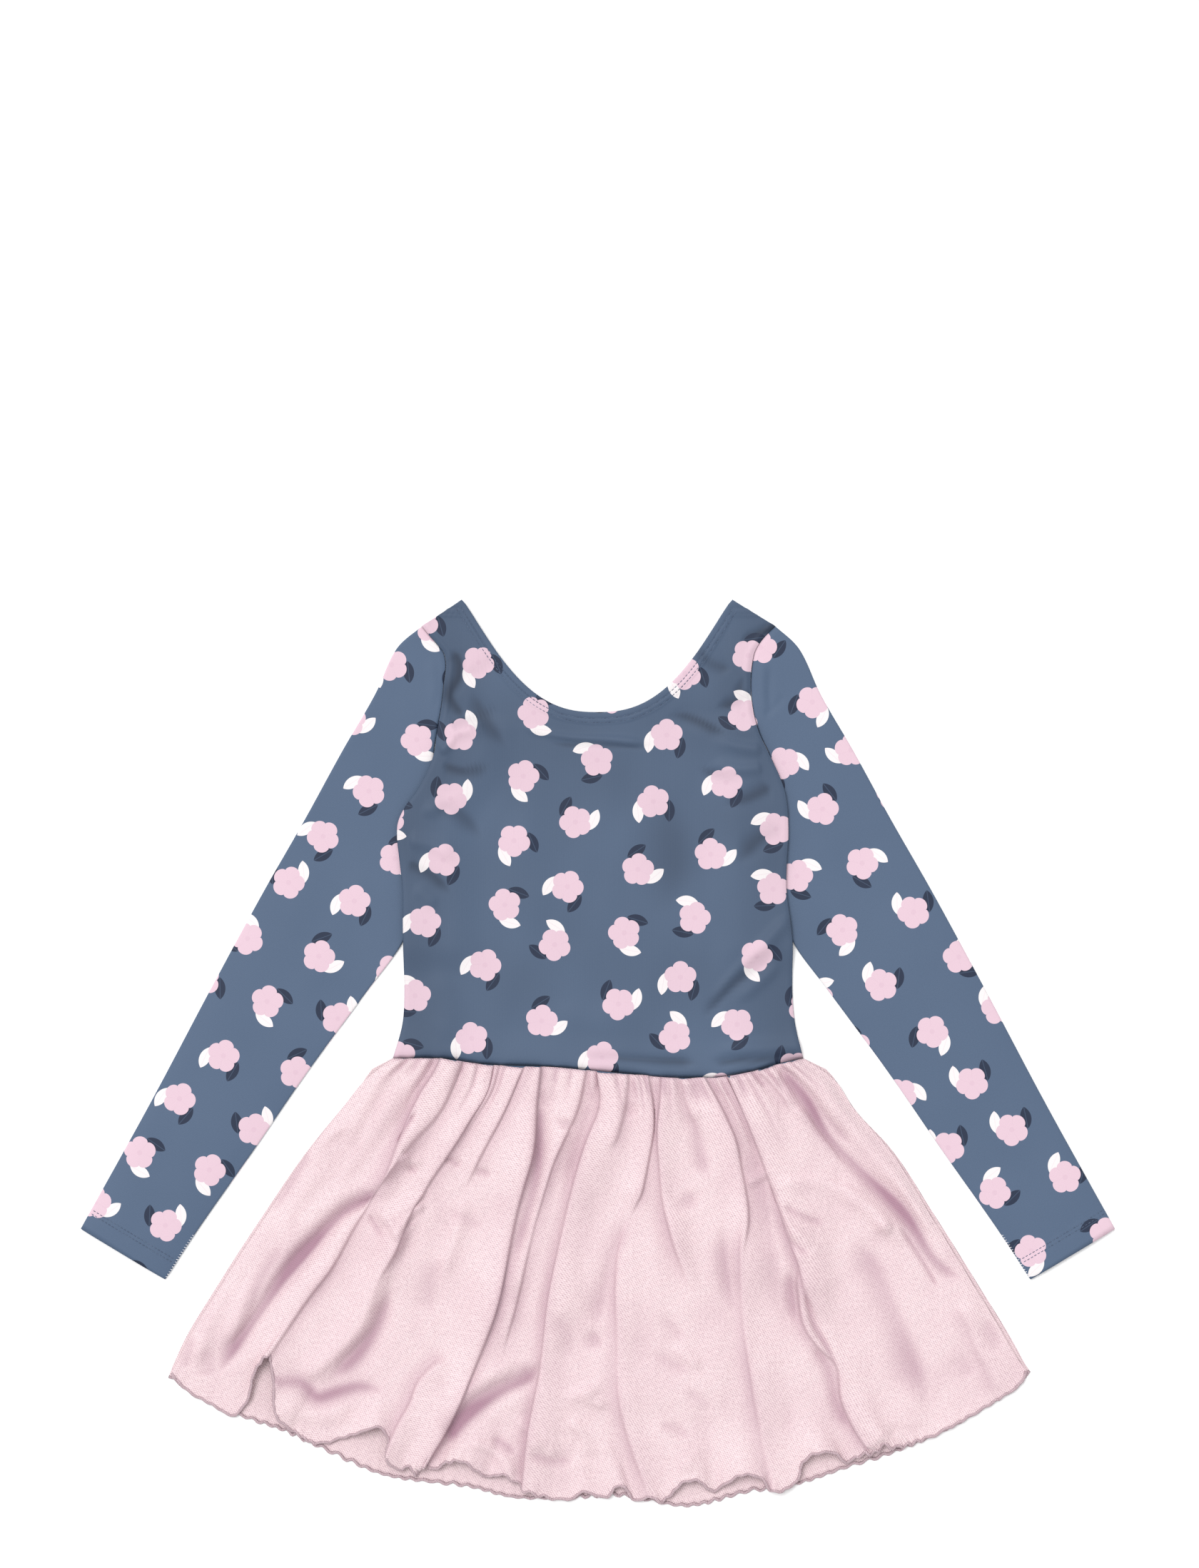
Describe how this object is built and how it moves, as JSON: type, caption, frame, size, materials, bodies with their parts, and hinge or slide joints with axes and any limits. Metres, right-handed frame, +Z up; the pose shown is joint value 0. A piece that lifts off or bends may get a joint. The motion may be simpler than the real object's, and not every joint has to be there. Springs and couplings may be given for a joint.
{
  "type": "skirted gymnastics leotard",
  "caption": "Child's long-sleeved scoop-neck leotard with a gathered skirt sewn in at the waist, laid flat on its back with its front up.",
  "frame": {"origin": "on the surface it lies on, under the middle of the garment's box", "axes": "+Z up off the surface towards the garment's front, +Y towards the neck, +X to the right of someone looking down at the front"},
  "size_m": [0.6806, 0.5956, 0.0143],
  "materials": {
    "slate_knit": "slate blue printed stretch knit with a slight sheen",
    "pink_mesh_knit": "dusty pink fine mesh knit with a soft satin sheen"
  },
  "bodies": {
    "root": {"front_bodice": "slate_knit", "back_bodice": "slate_knit", "sleeve_left": "slate_knit", "sleeve_right": "slate_knit", "skirt_front": "pink_mesh_knit", "skirt_back": "pink_mesh_knit", "brief_front": "slate_knit", "brief_back": "slate_knit"}
  },
  "joints": []
}
